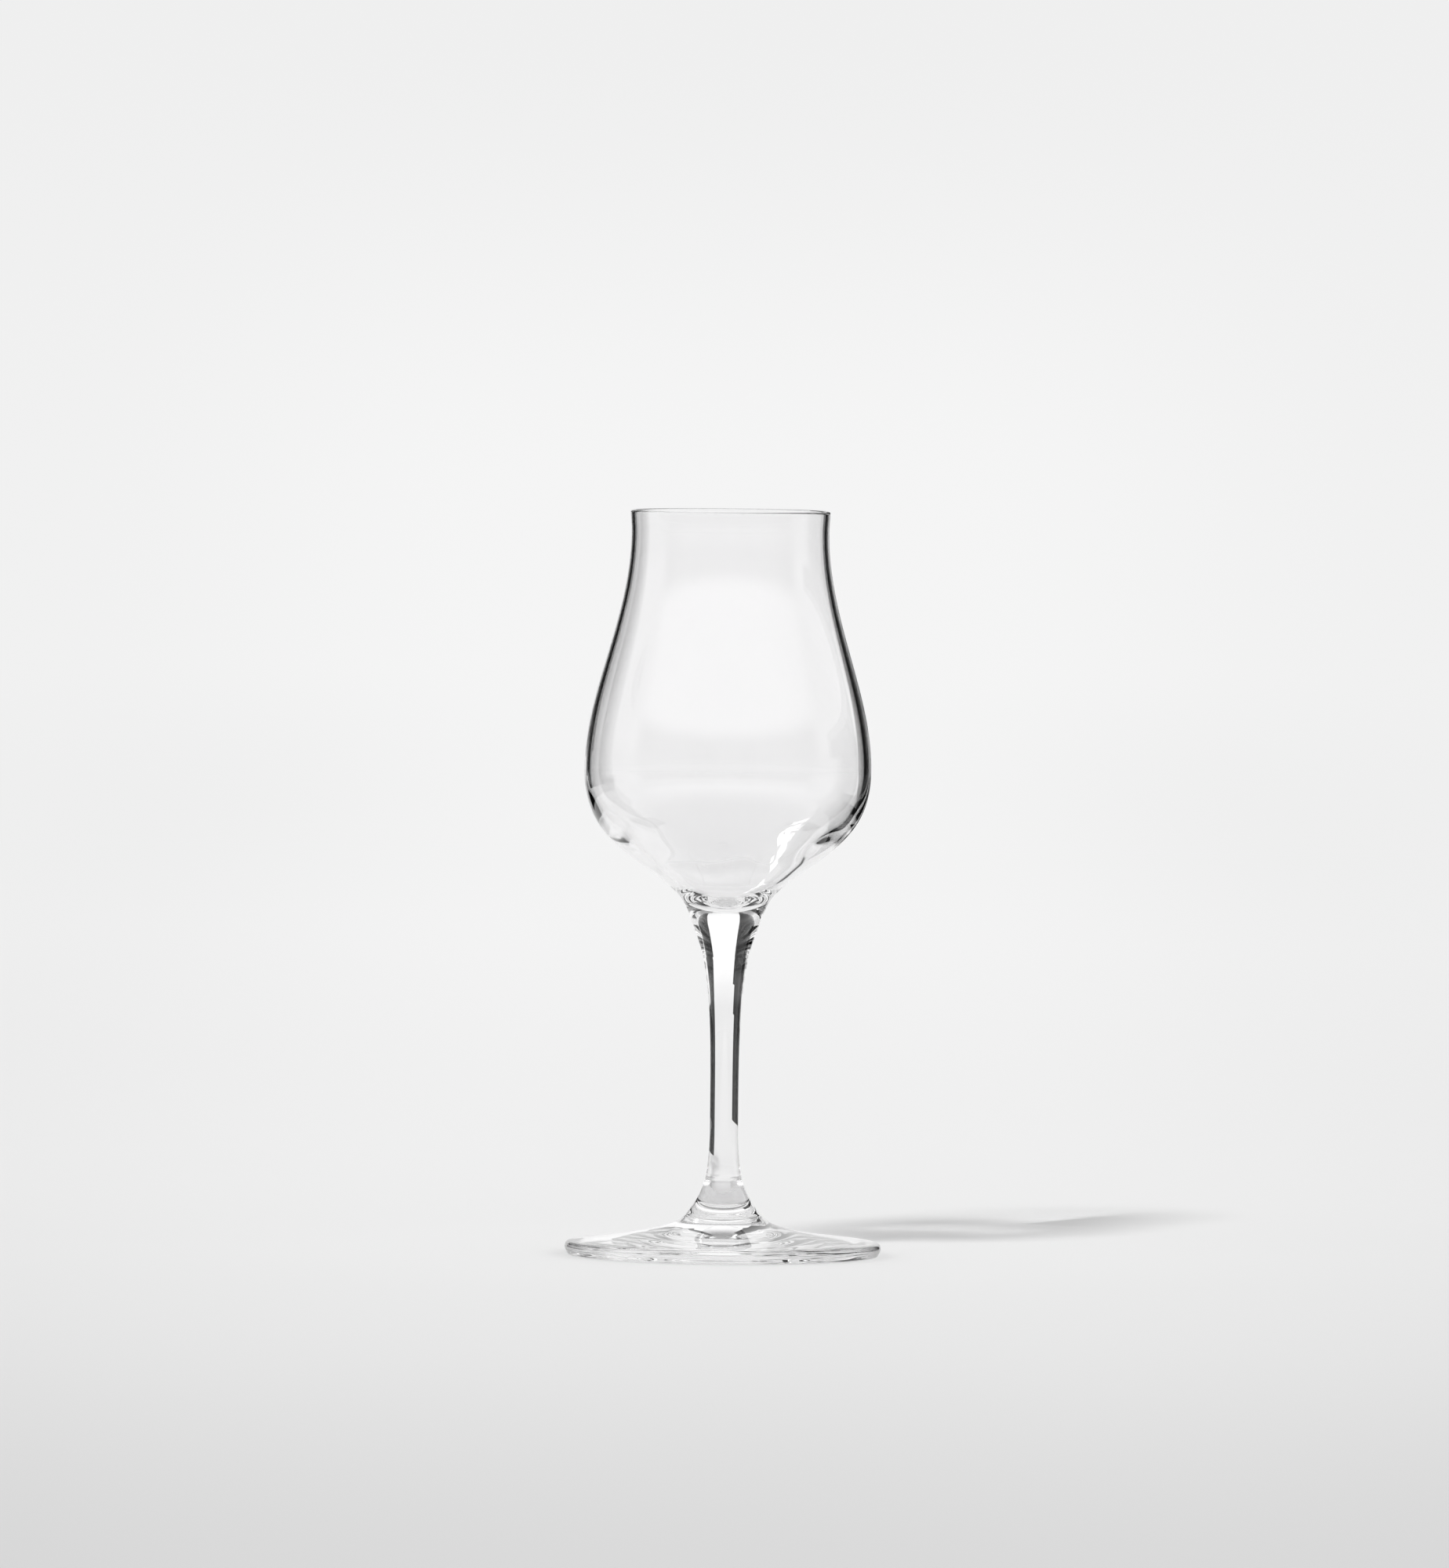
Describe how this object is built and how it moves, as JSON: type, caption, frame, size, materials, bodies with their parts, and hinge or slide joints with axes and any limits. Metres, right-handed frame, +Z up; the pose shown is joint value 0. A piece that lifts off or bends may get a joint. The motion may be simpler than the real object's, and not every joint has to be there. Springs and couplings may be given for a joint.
{
  "type": "whisky tasting glass",
  "caption": "Clear stemmed tasting glass for spirits: a tulip bowl drawn in to a narrow mouth, a slim waisted stem and a round foot.",
  "frame": {"origin": "on the glass's axis, at the level that the foot stands on", "axes": "+Z up along the axis, from foot to rim; the glass is turned, so +X and +Y are free"},
  "size_m": [0.0706, 0.0706, 0.1661],
  "materials": {
    "bowl_glass": "clear blown glass with fire-polished rim",
    "stem_glass": "clear pressed glass, polished",
    "foot_glass": "clear pressed glass, polished, faintly wavy"
  },
  "bodies": {
    "root": {"bowl": "bowl_glass", "stem": "stem_glass", "foot": "foot_glass"}
  },
  "joints": []
}
